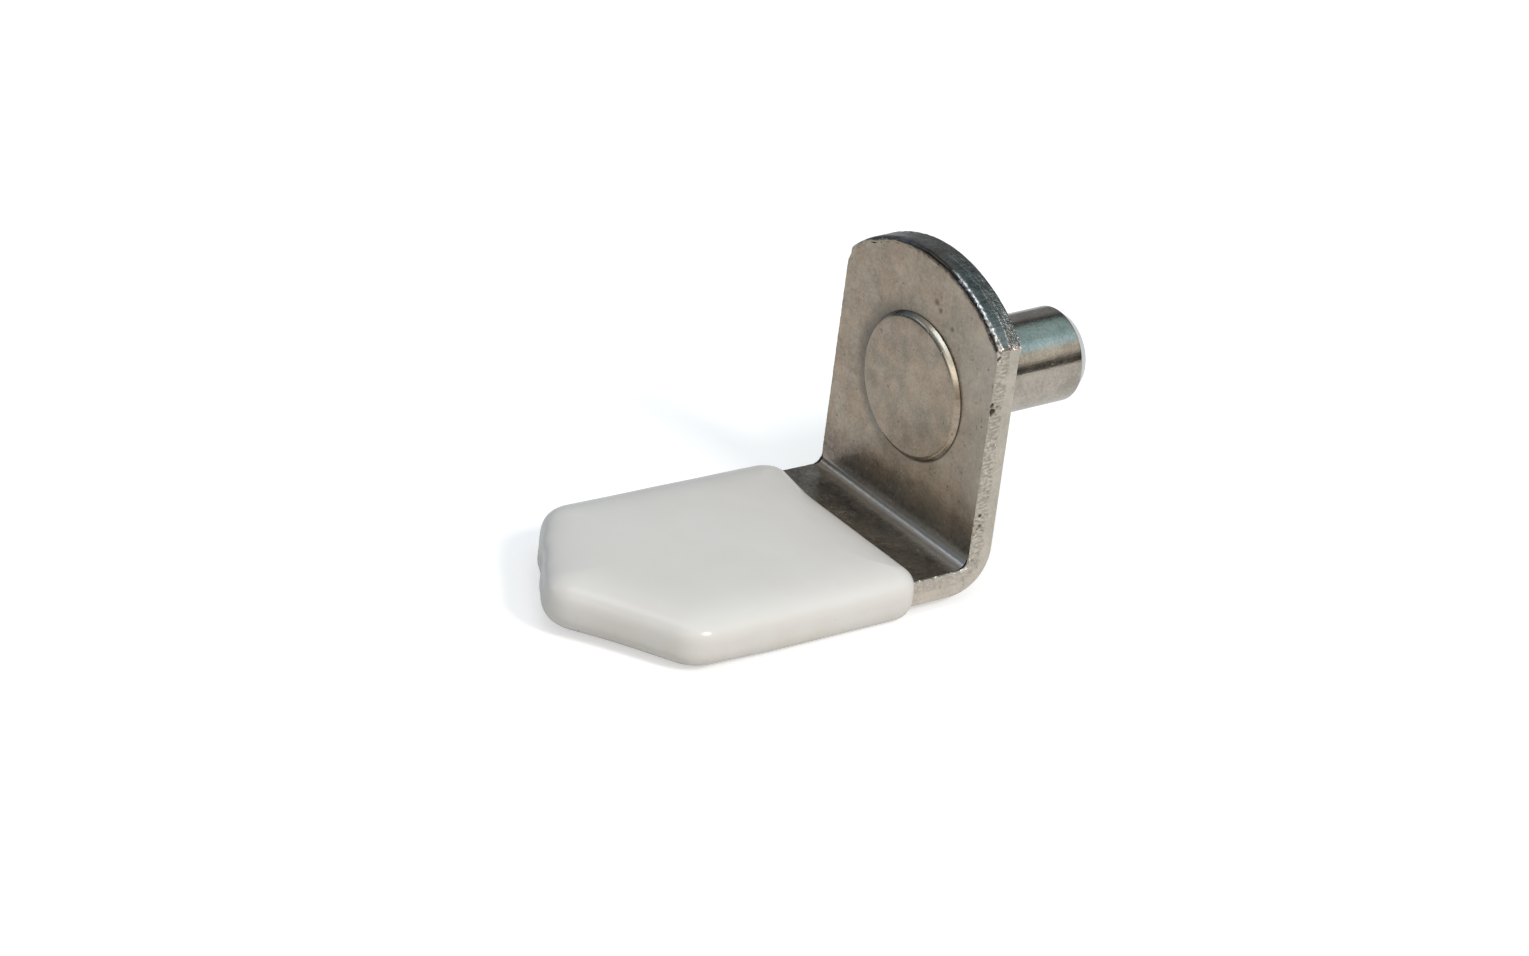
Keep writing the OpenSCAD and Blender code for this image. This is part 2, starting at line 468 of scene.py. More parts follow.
def drill_hole(piece):
    """Cuts the hole for the pin's tenon through the upright."""
    rim = arc((0.0, 0.0), TENON_R + TENON_FIT, 0, 360, HOLE_SIDES + 1)
    depths = (-SHEET_T - HOLE_PAST, HOLE_PAST)
    shell = Shell()
    shell.grid(np.array([[(x, y, z) for x, z in rim] for y in depths]))
    for y in depths:
        shell.grid(np.array([[(x, y, z) for x, z in rim], [(0.0, y, 0.0)] * len(rim)]))
    cutter = shell.build("tenon_cutter")
    cut = piece.modifiers.new("tenon_hole", "BOOLEAN")
    cut.operation = "DIFFERENCE"
    cut.solver = "EXACT"
    cut.object = cutter
    ready = piece.evaluated_get(bpy.context.evaluated_depsgraph_get())
    mesh = bpy.data.meshes.new_from_object(ready)
    piece.modifiers.clear()
    piece.data = mesh
    mesh.name = piece.name
    bpy.data.objects.remove(cutter)


# Pin: one turned profile, with the riveted head a little off its axis
HEAD_SHIFT = np.array((0.18, 0.0, 0.08))
PIN_TURNS = 160
# Reach of the soft edges, and of the corner where the lead-in starts
SOFT_EDGE = 0.1
LEAD_ROUND = 0.06
# Points along the parts of the profile
FACE_STEPS = 24
RIM_STEPS = 14
SLOPE_STEPS = 6
SHANK_STEPS = 40
LEAD_STEPS = 10
END_STEPS = 12


def soft_corner(before, corner, after, reach, count=6):
    """Rounds a corner of a profile with a short curve."""
    before, corner, after = map(np.array, (before, corner, after))
    start = corner + (before - corner) / np.linalg.norm(before - corner) * reach
    end = corner + (after - corner) / np.linalg.norm(after - corner) * reach
    t = np.linspace(0, 1, count)[:, None]
    return (1 - t) ** 2 * start + 2 * t * (1 - t) * corner + t**2 * end


def make_pin():
    """The pin: a head that is shifted on its axis, and a body from the tenon to the end."""
    head_y, end_y = PIN_LOW[1], PIN_HIGH[1]
    lead = (PIN_R, end_y - PIN_LEAD)
    nose = (PIN_R - PIN_LEAD_DEPTH, end_y)
    foot, brow = (HEAD_R, -SHEET_T), (HEAD_R - HEAD_BEVEL, head_y)
    face = [(r, head_y) for r in np.linspace(0.0, brow[0] - HEAD_ROUND, FACE_STEPS)[:-1]]
    rim = soft_corner((0.0, head_y), brow, foot, HEAD_ROUND, RIM_STEPS)
    slope = np.linspace(rim[-1], foot, SLOPE_STEPS)[1:]
    head = np.vstack([face, rim, slope, [(TENON_R, -SHEET_T)]])
    shoulder = soft_corner((TENON_R, 0.0), (PIN_R, 0.0), lead, SOFT_EDGE)
    shank = [(PIN_R, y) for y in np.linspace(SOFT_EDGE, lead[1] - LEAD_ROUND, SHANK_STEPS)[1:-1]]
    chamfer = soft_corner((PIN_R, 0.0), lead, nose, LEAD_ROUND, LEAD_STEPS)
    end = soft_corner(lead, nose, (0.0, end_y), SOFT_EDGE)
    flat = [(r, end_y) for r in np.linspace(nose[0] - SOFT_EDGE, 0.0, END_STEPS)[1:]]
    body = np.vstack([[(TENON_R, -SHEET_T)], [(TENON_R, 0.0)], shoulder, shank, chamfer, end, flat])
    turn = np.linspace(0, 2 * math.pi, PIN_TURNS + 1)
    shell = Shell()
    for profile, shift in ((head, HEAD_SHIFT), (body, np.zeros(3))):
        r, y = profile[:, :1], profile[:, 1:]
        rings = spread(r * np.cos(turn), y, r * np.sin(turn))
        inside = (profile[:, 0] > TENON_R) | (profile[:, 1] < -SHEET_T)
        rings[inside] += shift
        shell.grid(rings)
    return shell.build("riveted_pin")


# Sleeve: loops round its plan outline, from the middle of its top to the middle of its bottom
BELT_Z = TONGUE_TOP - SHEET_T / 2
# Rear corners in plan, their least radius when inset, and the part of each in the mouth
REAR_ROUND = 1.5
REAR_LEAST = 0.02
MOUTH_REACH = (0.09, 0.9)
# Points round the plan
REAR_STEPS = 80
MOUTH_STEPS = 8
CORNER_STEPS = 14
SIDE_STEPS = 100
SHOULDER_STEPS = 28
SLANT_STEPS = 48
POINT_STEPS = 17
# Loops on the lips of the mouth, above and below them, and across the caps; steps into the pocket
LIP_LOOPS = 8
TOP_LOOPS = 34
LOW_LOOPS = 22
CAP_LOOPS = 25
POCKET_STEPS = 40
# Crowding of the loops towards the flats, and where the bottom's last one lies
CROWDING = 1.7
LOW_END = 0.997
# Section above and below the belt: reach of the rounding, and how square it is
TOP_REACH = 4.5
TOP_POWER = 3.5
BOTTOM_REACH = 1.1
BOTTOM_POWER = 2.2
# Fuller reach below the front, and where it takes over
FRONT_REACH = 1.6
FRONT_FROM, FRONT_TO = -13.0, -18.5
# Inset of the loop where the cap of the top begins, and how flat that cap is
CAP_INSET = 2.2
CAP_POWER = 6.0
# Line along which the loops close on the top and the bottom
SPINE_REAR = -9.0
SPINE_FRONT = -16.5
# Rear rim: set back from the CAD's, with a stretch at the far end that runs on
RIM_BACK = 0.13
RIM_FAR_X = -2.9
RIM_FAR_SLOPE = 0.17
RIM_FAR_SHARPNESS = 4.0
RIM_REACH = 1.6
# Unevenness of the dipped skin: depth, middle, layers of scale, strength and seed, and length clear of it
SKIN_WAVE = 0.04
SKIN_MIDDLE = 0.5
SKIN_LAYERS = ((0.3, 0.45, 4.0), (0.8, 0.1, 9.0))
SKIN_CLEAR = 0.9
# Dent beside the tip: depth, place across, size across and up, and how far in it fades
DENT = 0.16
DENT_X = -3.3
DENT_SIZE = 0.7
DENT_HEIGHT = 0.9
DENT_FADE = (0.3, 1.6)
# Thicker skin at the point and on its far slant, and where along the tongue it sets in
POINT_WIDTH = 1.8
FAR_SKIN = 0.28
FAR_FADE = 2.0
POINT_FROM, POINT_TO = -17.5, -20.5


def half_outline(inset):
    """Right half of the sleeve's plan from the rear's middle to the tip, moved in."""
    corner_r = max(REAR_ROUND - inset, REAR_LEAST)
    centre = (SLEEVE_HIGH[0] - inset - corner_r, SLEEVE_REAR - inset - corner_r)
    r = TIP_ROUND + SLEEVE_EDGE - inset
    slope = math.degrees(TIP_ANGLE)
    reach = np.clip((HALF_W - centre[0]) / corner_r, *MOUTH_REACH)
    split = math.degrees(math.asin(reach))
    rear_y = centre[1] + corner_r
    rear = np.linspace((0.0, rear_y), (centre[0], rear_y), REAR_STEPS // 2 + 1)
    near = arc(centre, corner_r, 90, 90 - split, MOUTH_STEPS + 1)
    corner = arc(centre, corner_r, 90 - split, 0, CORNER_STEPS)
    shoulder = arc((SHOULDER_X, SHOULDER_Y), r, 0, -90 + slope, SHOULDER_STEPS)
    point = arc((0.0, TIP_Y), r, -90 + slope, -90, POINT_STEPS)
    side = np.linspace(corner[-1], shoulder[0], SIDE_STEPS)
    slant = np.linspace(shoulder[-1], point[0], SLANT_STEPS)
    return np.vstack([rear, near[1:], corner[1:], side[1:], shoulder[1:], slant[1:], point[1:]])


def loop_at(inset, z):
    """Closed loop of the plan, moved in, at one height."""
    half = half_outline(inset)
    plan = np.vstack([half[:-1], (half * (-1, 1))[:0:-1], half[:1]])
    return np.column_stack([plan, np.full(len(plan), z)])


def section(height, reach, power, levels):
    """Insets and heights of one side of the section, at shares of its height."""
    inset = reach * (1 - (1 - levels**power) ** (1 / power))
    return inset, levels * height


def share_at(inset, reach, power):
    """Share of the section's height at an inset."""
    return (1 - (1 - inset / reach) ** power) ** (1 / power)


def loop_shares(lip, last, end, count):
    """Shares of a section's height: even over the lip of the mouth, then crowded towards the last."""
    rise = 1 - (1 - np.linspace(0, end, count)[1:]) ** CROWDING
    return np.concatenate([np.linspace(0, lip, LIP_LOOPS), lip + (last - lip) * rise])


def sleeve_loops(bottom_reach):
    """Loops from the cap of the top down to the edge of the bottom."""
    top_h, low_h = SLEEVE_HIGH[2] - BELT_Z, BELT_Z - SLEEVE_LOW[2]
    lip = SHEET_T / 2
    top = loop_shares(lip / top_h, share_at(CAP_INSET, TOP_REACH, TOP_POWER), 1, TOP_LOOPS)
    low = loop_shares(lip / low_h, 1, LOW_END, LOW_LOOPS)[1:]
    loops = [loop_at(d, BELT_Z + z) for d, z in zip(*section(top_h, TOP_REACH, TOP_POWER, top))][::-1]
    loops += [loop_at(d, BELT_Z - z) for d, z in zip(*section(low_h, bottom_reach, BOTTOM_POWER, low))]
    return np.array(loops)


def soften(points):
    """The dipped look: an uneven rear rim and skin, and a dent in the far slant of the tip."""
    x, y, z = points[..., 0], points[..., 1], points[..., 2]
    rear = bell(SLEEVE_REAR - y, RIM_REACH)
    run_on = np.logaddexp(0.0, (RIM_FAR_X - x) * RIM_FAR_SHARPNESS) / RIM_FAR_SHARPNESS
    run_on = RIM_FAR_SLOPE * run_on
    inside = y - tip_y(np.clip(x, -HALF_W, HALF_W), SLEEVE_EDGE)
    dent = bell(x - DENT_X, DENT_SIZE) * bell(z - BELT_Z, DENT_HEIGHT)
    dent = DENT * dent * (1 - smoothstep(*DENT_FADE, inside))
    skin = SKIN_MIDDLE - layered(points, SKIN_LAYERS)
    clear = 1.0 - bell(SLEEVE_REAR - y, SKIN_CLEAR)
    height = np.clip((z - BELT_Z) / SHEET_T, -1.0, 1.0)
    far = np.clip(-x / FAR_FADE, 0.0, 1.0) * np.clip((HALF_W + x) / FAR_FADE, 0.0, 1.0)
    middle = bell(x, POINT_WIDTH)
    point = SLEEVE_POINT * middle + FAR_SKIN * far * (1 - middle)
    point = point * np.clip((POINT_FROM - y) / (POINT_FROM - POINT_TO), 0.0, 1.0)
    moved = points.copy()
    moved[..., 0] += dent * math.sin(TIP_ANGLE)
    moved[..., 1] += (run_on - RIM_BACK) * rear + dent * math.cos(TIP_ANGLE) - point
    moved[..., 2] -= SKIN_WAVE * np.maximum(skin, 0.0) * clear * height
    return moved


def make_sleeve():
    """The sleeve: loops down its sides, closed by caps that run in to a line along its middle."""
    loops = sleeve_loops(BOTTOM_REACH)
    full = smoothstep(FRONT_FROM, FRONT_TO, loops[..., 1:2])
    loops = loops + (sleeve_loops(FRONT_REACH) - loops) * full
    first, last = loops[0], loops[-1]
    spine = first.copy()
    spine[:, 0] = 0.0
    spine[:, 1] = np.clip(first[:, 1], SPINE_FRONT, SPINE_REAR)
    shares = np.linspace(0.0, 1.0, CAP_LOOPS + 1)[:-1, None, None]
    top = spine + (first - spine) * shares
    top[..., 2] = SLEEVE_HIGH[2] - (SLEEVE_HIGH[2] - first[0, 2]) * shares[..., 0] ** CAP_POWER
    bottom = (spine + (last - spine) * shares)[::-1]
    bottom[..., 2] = last[0, 2]
    plain = np.concatenate([top, loops, bottom])
    return sleeve_shell(soften(plain), plain[:, 0, 2]).build("vinyl_sleeve")


def sleeve_shell(outer, heights):
    """Opens the mouth in the loops and lines the pocket that holds the tongue."""
    half = REAR_STEPS // 2 + MOUTH_STEPS
    low = int(np.argmin(np.abs(heights - TONGUE_TOP)))
    high = int(np.argmin(np.abs(heights - TONGUE_LOW)))
    count = outer.shape[1] - 1
    mouth_columns = [i % count for i in range(-half, half + 1)]
    outer[low, mouth_columns, 2] = TONGUE_TOP
    outer[high, mouth_columns, 2] = TONGUE_LOW
    outer[:, -1] = outer[:, 0]
    mouth = outer[low : high + 1][:, mouth_columns]
    far = mouth.copy()
    far[..., 1] = tip_y(np.clip(mouth[..., 0], -HALF_W, HALF_W), 0.0)
    shell = Shell()
    for grid in (outer[: low + 1], outer[high:], outer[low : high + 1, half : count - half + 1], far):
        shell.grid(settle(grid))
    steps = np.linspace(0.0, 1.0, POCKET_STEPS)
    for edge in (np.s_[0, :], np.s_[-1, :], np.s_[:, 0], np.s_[:, -1]):
        near, end = mouth[edge], far[edge]
        shell.grid(settle(np.array([near + (end - near) * s for s in steps])))
    return shell


# Stretch along each axis that leaves a place as it is
EVEN = (1.0, 1.0, 1.0)


class Shader:
    """Short calls for building a node material."""

    def __init__(self, name, world=False):
        self.data = bpy.data.worlds.new(name) if world else bpy.data.materials.new(name)
        self.data.use_nodes = True
        self.tree = self.data.node_tree
        self.tree.nodes.clear()
        self.places = {}

    def add(self, kind, sockets=None, **settings):
        node = self.tree.nodes.new("ShaderNode" + kind)
        for name, value in settings.items():
            setattr(node, name, value)
        for name, value in (sockets or {}).items():
            if isinstance(value, bpy.types.NodeSocket):
                self.tree.links.new(value, node.inputs[name])
            else:
                node.inputs[name].default_value = value
        return node

    def millimetres(self, stretch=EVEN):
        """Object coordinates in millimetres, divided by a stretch along each axis."""
        if stretch not in self.places:
            place = self.add("TexCoord").outputs["Object"]
            scale = tuple(1 / (MM * part) for part in stretch)
            self.places[stretch] = self.add("Mapping", {"Vector": place, "Scale": scale}).outputs["Vector"]
        return self.places[stretch]

    def axis(self, name):
        """One of the object coordinates in millimetres."""
        return self.add("SeparateXYZ", {"Vector": self.millimetres()}).outputs[name]

    def noise(self, kind, stretch=EVEN):
        """Noise of a scale, detail and roughness."""
        scale, detail, rough = kind
        sockets = {"Vector": self.millimetres(stretch), "Scale": scale, "Detail": detail, "Roughness": rough}
        return self.add("TexNoise", sockets).outputs["Fac"]

    def span(self, value, low, high, to_low, to_high):
        """Maps a value from one range to another, clamped."""
        names = ("Value", "From Min", "From Max", "To Min", "To Max")
        sockets = dict(zip(names, (value, low, high, to_low, to_high)))
        return self.add("MapRange", sockets).outputs["Result"]

    def rise(self, value, low, high, top=1.0):
        """0 below a range, and a top value above it."""
        return self.span(value, low, high, 0.0, top)

    def fall(self, value, low, high, top=1.0):
        """A top value below a range, and 0 above it."""
        return self.span(value, low, high, top, 0.0)

    def patches(self, kind, levels):
        """A noise, mapped from two of its values to two levels."""
        return self.span(self.noise(kind), *levels)

    def ramp(self, value, stops):
        node = self.add("ValToRGB", {"Fac": value})
        ramp = node.color_ramp
        while len(ramp.elements) < len(stops):
            ramp.elements.new(0.5)
        for element, (place, colour) in zip(ramp.elements, stops):
            element.position = place
            element.color = (*colour, 1.0)
        return node.outputs["Color"]

    def mix(self, share, a, b):
        """Blends two colours."""
        colours = [c if isinstance(c, bpy.types.NodeSocket) else (*c, 1.0) for c in (a, b)]
        node = self.add("Mix", {0: share, 6: colours[0], 7: colours[1]}, data_type="RGBA")
        return node.outputs[2]

    def cover(self, colour, coats):
        """Lays coats over a colour, each as its share and its own colour."""
        for share, coat in coats:
            colour = self.mix(share, colour, coat)
        return colour

    def math(self, operation, a, b):
        return self.add("Math", {0: a, 1: b}, operation=operation).outputs["Value"]

    def vector(self, operation, a, b=(0.0, 0.0, 0.0), output="Vector"):
        return self.add("VectorMath", {0: a, 1: b}, operation=operation).outputs[output]

    def chain(self, operation, values):
        """One operation over a row of numbers."""
        result = values[0]
        for value in values[1:]:
            result = self.math(operation, result, value)
        return result

    def product(self, *values):
        return self.chain("MULTIPLY", values)

    def mottle(self, *layers):
        """Weighted sum of noises, each with its share and, for some, a stretch."""
        parts = [self.product(self.noise(kind, *stretch), share) for kind, share, *stretch in layers]
        return self.chain("ADD", parts)

    def blend(self, share, a, b):
        """Blends two numbers."""
        return self.span(share, 0.0, 1.0, a, b)

    def bump(self, height, depth, strength, normal=None):
        """Relief of a depth in millimetres, on top of an earlier one."""
        sockets = {"Height": height, "Distance": depth * MM, "Strength": strength}
        if normal:
            sockets["Normal"] = normal
        return self.add("Bump", sockets).outputs["Normal"]

    def finish(self, sockets):
        principled = self.add("BsdfPrincipled", sockets)
        output = self.add("OutputMaterial")
        self.tree.links.new(principled.outputs["BSDF"], output.inputs["Surface"])
        return self.data


# Tones of the metal: reach to either side of a noise's middle, dark and light colour
WARM_FACE = 0.10, (0.300, 0.241, 0.186), (0.505, 0.410, 0.316)
COOL_FACE = 0.10, (0.296, 0.254, 0.200), (0.492, 0.424, 0.336)
TONGUE = 0.11, (0.200, 0.187, 0.160), (0.580, 0.543, 0.465)
CUT = 0.14, (0.520, 0.465, 0.397), (0.735, 0.665, 0.572)
TORN = 0.11, (0.440, 0.392, 0.333), (0.765, 0.694, 0.598)
SHANK = 0.085, (0.415, 0.375, 0.322), (0.590, 0.532, 0.456)
# Crown tones: painted light at its left and painted shade at its right, to even out what it mirrors
CROWN_LEFT = 0.10, (0.145, 0.138, 0.125), (0.350, 0.338, 0.312)
CROWN_RIGHT = 0.10, (0.085, 0.085, 0.080), (0.275, 0.275, 0.260)
# Coats over them: painted sheen, painted highlight and painted glint, stains, thick grime that also serves as
# a painted dark reflection, and painted shade
PAINTED_SHEEN = (0.62, 0.605, 0.575)
PAINTED_HIGHLIGHT = (0.80, 0.80, 0.79)
PAINTED_GLINT = (0.80, 0.73, 0.60)
STAIN = (0.10, 0.085, 0.065)
GRIME_AND_DARK_REFLECTION = (0.055, 0.045, 0.035)
PAINTED_SHADE = (0.075, 0.077, 0.080)
# Sizes of marks along each axis: rolled along the strip, punched, torn, and drawn along the shank
ROLLED = (0.13, 3.0, 3.0)
PUNCHED = (0.10, 0.7, 0.10)
CHATTER = (0.30, 0.34, 0.12)
DRAWN = (0.16, 2.5, 0.16)


def tone(s, value, reach, dark, light):
    """Ramp from dark to light, a reach to either side of the noise's middle."""
    return s.ramp(value, [(0.5 - reach, dark), (0.5 + reach, light)])


# Noises: scale, detail and roughness, then their shares in a tone and, for streaks, their stretch
DULL_CLOUDS = (0.35, 4.0, 0.6), 0.34
DULL_PATCHES = (1.3, 4.0, 0.6), 0.30
DULL_STREAKS = (1.0, 3.0, 0.55), 0.06, ROLLED
DULL_SPECKS = (7.0, 3.0, 0.6), 0.30
BRIGHT_CLOUDS = (0.7, 4.0, 0.6), 0.5
BRIGHT_SPECKS = (7.0, 4.0, 0.65), 0.5
CROWN_STREAKS = (1.0, 4.0, 0.6), 0.35, PUNCHED
CROWN_PATCHES = (1.5, 3.0, 0.6), 0.35
CROWN_SPECKS = (9.0, 3.0, 0.6), 0.30
# Patches: a noise, then two of its values and the two levels that these stand for
HUE = (0.6, 3.0, 0.5), (0.40, 0.60, 0.0, 1.0)
DOTS = (2.6, 1.5, 0.5), (0.715, 0.75, 0.0, 1.0)


def dull_tone(s):
    """Cloudy tone of dull plate, with streaks along the strip, specks and a slow change of hue."""
    value = s.mottle(DULL_CLOUDS, DULL_PATCHES, DULL_STREAKS, DULL_SPECKS)
    return s.mix(s.patches(*HUE), tone(s, value, *COOL_FACE), tone(s, value, *WARM_FACE))


def bright_tone(s, colours):
    """Finer mottle of the brighter surfaces."""
    return tone(s, s.mottle(BRIGHT_CLOUDS, BRIGHT_SPECKS), *colours)


# Places across between which the crown's lighter left tone gives way to its darker right one, as painted
# light and shade
CROWN_TURN = (0.0, 2.5)


def crown_tone(s):
    """Streaky tone of the punched crown, which is darker at the right with painted shade."""
    value = s.mottle(CROWN_STREAKS, CROWN_PATCHES, CROWN_SPECKS)
    turn = s.rise(s.axis("X"), *CROWN_TURN)
    return s.mix(turn, tone(s, value, *CROWN_LEFT), tone(s, value, *CROWN_RIGHT))


def dots(s, share):
    """Sparse small dark spots."""
    return s.product(s.patches(*DOTS), share)


def away_from(s, centre, stretch):
    """Distance from a point, with each axis divided by its stretch; a stretch of 0 leaves it out."""
    scale = tuple(1 / part if part else 0.0 for part in stretch)
    off = s.vector("MULTIPLY", s.vector("SUBTRACT", s.millimetres(), tuple(centre)), scale)
    return s.vector("LENGTH", off, output="Value")


# Stretches that measure a distance from an axis along y, and from one along x
FROM_Y_AXIS = (1.0, 0.0, 1.0)
FROM_X_AXIS = (0.0, 1.0, 1.0)


def beyond(start, low, high, *levels):
    """A range that is counted from a start, with its levels, if any."""
    return start + low, start + high, *levels


# Skin of the front face in which its marks lie, counted from the face
FRONT_SKIN = (0.1, 0.3)


def on_front(s):
    """1 on the upright's front face and before it, and 0 behind it."""
    return s.fall(s.axis("Y"), *beyond(-SHEET_T, *FRONT_SKIN))


# Left part of the head, from its middle; a line of painted shade and a wide painted shadow round it, from its
# rim, with their shares
HEAD_LEFT = (-3.0, 1.0)
RING_LINE = (0.03, 0.11, 0.75)
RING_SHADOW = (0.05, 0.95, 0.66)


def head_radius(s):
    """Distance from the middle of the pin's head, and a share that is 1 at its left."""
    left = s.fall(s.axis("X"), *beyond(HEAD_SHIFT[0], *HEAD_LEFT))
    return away_from(s, HEAD_SHIFT, FROM_Y_AXIS), left


def shade_ring(s):
    """A line of painted shade in the corner between the sheet and the pin's head, with a wide painted shadow
    at its left.
    """
    radius, left = head_radius(s)
    line = s.fall(radius, *beyond(HEAD_R, *RING_LINE))
    ring_shadow = s.product(s.fall(radius, *beyond(HEAD_R, *RING_SHADOW)), left)
    return s.product(s.math("MAXIMUM", line, ring_shadow), on_front(s))


# Small pits in the front face, as places across and up and their radii
FACE_PITS = ((1.10, 5.33, 0.26), (1.48, 5.02, 0.22), (2.56, 4.44, 0.20))
# Their ragged outline and its mean, the part of the radius that is fully dark, and the stain's share
PIT_RAGGED = (9.0, 2.0, 0.5), 0.12
PIT_MEAN = 0.06
PIT_CORE = 0.2
PIT_STAIN = 0.7


def face_marks(s):
    """Small pits in the front face."""
    ragged = s.mottle(PIT_RAGGED)
    marks = 0.0
    for x, z, size in FACE_PITS:
        away = s.math("ADD", away_from(s, (x, 0.0, z), FROM_Y_AXIS), ragged)
        pit = s.fall(away, PIT_CORE * size + PIT_MEAN, size + PIT_MEAN, PIT_STAIN)
        marks = s.math("MAXIMUM", marks, pit)
    return s.product(marks, on_front(s))


# Crown's front: where across its painted dark reflection and its painted highlight line set in, and from what
# height, from the sides' top
DARK_REFLECTION_FROM = (-2.2, -0.2)
LINE_ACROSS = (1.7, 2.6)
CROWN_FROM = (-1.2, -0.2)
# Depths of the painted highlight line's borders, its gaps, and the noise and size of the ragged borders of
# both
LINE_FROM = (0.06, 0.12)
LINE_TO = (0.16, 0.23)
LINE_GAPS = (5.0, 2.0, 0.5), (0.38, 0.50, 0.15, 1.0)
RAGGED = (4.0, 3.0, 0.6)
RAGGED_SIZE = 0.45
# Painted dark reflection: reach from the crown's arc with its share, and depths beside the dull and the
# bright part of the roll
DARK_REFLECTION_REACH = (-0.42, -0.24, 0.85)
DARK_REFLECTION_DULL = (0.16, 0.28)
DARK_REFLECTION_BRIGHT = (0.04, 0.12)


def crown_masks(s):
    """Along the crown's front: a painted dark reflection on the face, and a painted highlight line on the
    roll beyond it.
    """
    depth = s.math("ADD", s.axis("Y"), SHEET_T)
    radius = away_from(s, (0.0, 0.0, CROWN_Z), FROM_Y_AXIS)
    ragged = s.product(s.math("SUBTRACT", s.noise(RAGGED), 0.5), RAGGED_SIZE)
    high = s.rise(s.axis("Z"), *beyond(SIDE_TOP, *CROWN_FROM))
    across = s.axis("X")
    bright = s.rise(across, *LINE_ACROSS)
    uneven = s.math("ADD", depth, ragged)
    line = s.product(s.rise(uneven, *LINE_FROM), s.fall(uneven, *LINE_TO), bright, high)
    line = s.product(line, s.patches(*LINE_GAPS))
    dark_reflection = s.rise(s.math("ADD", radius, ragged), *beyond(CROWN_R, *DARK_REFLECTION_REACH))
    shallow = s.fall(depth, *(s.blend(bright, *ends) for ends in zip(DARK_REFLECTION_DULL, DARK_REFLECTION_BRIGHT)))
    return s.product(dark_reflection, shallow, high, s.rise(across, *DARK_REFLECTION_FROM)), line


# Line of the bend, off both faces, the reach of the zone round it, and the shares of the painted highlight
# along it at the left and the right
BEND_OFF = 0.12
BEND_LINE = (0.0, -SHEET_T - BEND_OFF, TONGUE_TOP + BEND_OFF)
BEND_REACH = (0.30, 0.75)
BEND_SHEEN = (0.15, 0.95)
# Painted sheen on the upright's right: where across it sets in, with its share, and from what height
RIGHT_SHEEN_FROM = (2.5, 6.0, 0.24)
RIGHT_SHEEN_ABOVE = (-5.0, -3.0)
# Painted shade in the corner above the bend: heights, where the upright begins, and patches
CORNER_SHADE = (-6.6, -4.6)
CORNER_CLEAR = (-0.2, -0.1)
CORNER_PATCHES = (4.0, 4.0, 0.7), (0.36, 0.64, 0.22, 0.78)


def bend_marks(s):
    """The inside of the bend, painted sheen along the bend and on the upright's right, and painted shade in
    the corner above it.
    """
    across, depth, height = map(s.axis, "XYZ")
    bent = s.fall(away_from(s, BEND_LINE, FROM_X_AXIS), *BEND_REACH)
    # painted highlight along the bend, brighter towards the right
    bend_sheen = s.product(bent, s.span(across, -HALF_W, HALF_W, *BEND_SHEEN))
    # painted sheen on the upright's right
    right_sheen = s.product(s.rise(across, *RIGHT_SHEEN_FROM), s.rise(height, *RIGHT_SHEEN_ABOVE))
    upright = s.rise(depth, *beyond(-SHEET_T, *CORNER_CLEAR))
    patchy = s.patches(*CORNER_PATCHES)
    unbent = s.math("SUBTRACT", 1.0, bent)
    # painted shade in the corner above the bend, in patches
    corner = s.product(s.fall(height, *CORNER_SHADE), unbent, upright, on_front(s), patchy)
    return bent, s.math("MAXIMUM", bend_sheen, right_sheen), corner


# Relief of the dull plate: noise and depth of its fine grain, its grain and its waves, and their strength
PLATE_RELIEF = (((24.0, 3.0, 0.6), 0.003), ((7.0, 3.0, 0.6), 0.009), ((1.6, 3.0, 0.5), 0.025))
RELIEF_STRENGTH = 0.6
# Pits: patches, and depth and strength on the plate
PITS = (3.2, 2.0, 0.5), (0.69, 0.76, 0.0, -1.0)
PIT_RELIEF = (0.03, 0.7)


def dull_relief(s):
    """Fine grain of the dull plate, slow waves in the sheet, and shallow pits."""
    relief = None
    for kind, depth in PLATE_RELIEF:
        relief = s.bump(s.noise(kind), depth, RELIEF_STRENGTH, relief)
    return s.bump(s.patches(*PITS), *PIT_RELIEF, relief)


# Edge values between which the cut, the tear, a nick with its share and the crown's flat set in
CUT_FROM = (0.1, 0.4)
TORN_FROM = (0.6, 0.95)
NICK_FROM = (1.06, 1.3, 0.92)
FLAT_FROM = (0.38, 0.49)
# Heights of the crown, from the sides' top, and of the tear, from the underside, with its shares
CROWN_ABOVE = (-0.1, 0.1)
TORN_ABOVE = (0.5, 3.5, 0.2, 1.0)
# Where the tongue's tone sets in, from the front face, with its share; the share of the dots
TONGUE_FROM = (-0.9, -0.4, 0.75)
SHEET_DOTS = 0.6
# Painted glint on the tongue: its place, its size, and where it fades, with its share
TONGUE_GLINT = (-1.32, -3.81, TONGUE_TOP)
TONGUE_GLINT_SIZE = (0.10, 0.32, 0.5)
TONGUE_GLINT_FADE = (0.5, 1.0, 0.7)
# Roughness: noise and levels of the plate, more on the bend, the crown's roll and flat, tear and nick
GLOSS = (1.4, 4.0, 0.6)
PLATE_GLOSS = (0.3, 0.7, 0.18, 0.28)
BEND_GLOSS = 0.09
CROWN_GLOSS = (0.14, 0.32)
TORN_GLOSS = 0.30
NICK_GLOSS = 0.75
# Depth and strength of the punched streaks' relief and of the tear's; noises of the tear
PUNCH_RELIEF = (0.012, 0.7)
TORN_RELIEF = (0.075, 0.75)
TORN_NOISE = (5.5, 4.0, 0.7)
CHATTER_NOISE = (1.0, 3.0, 0.6)


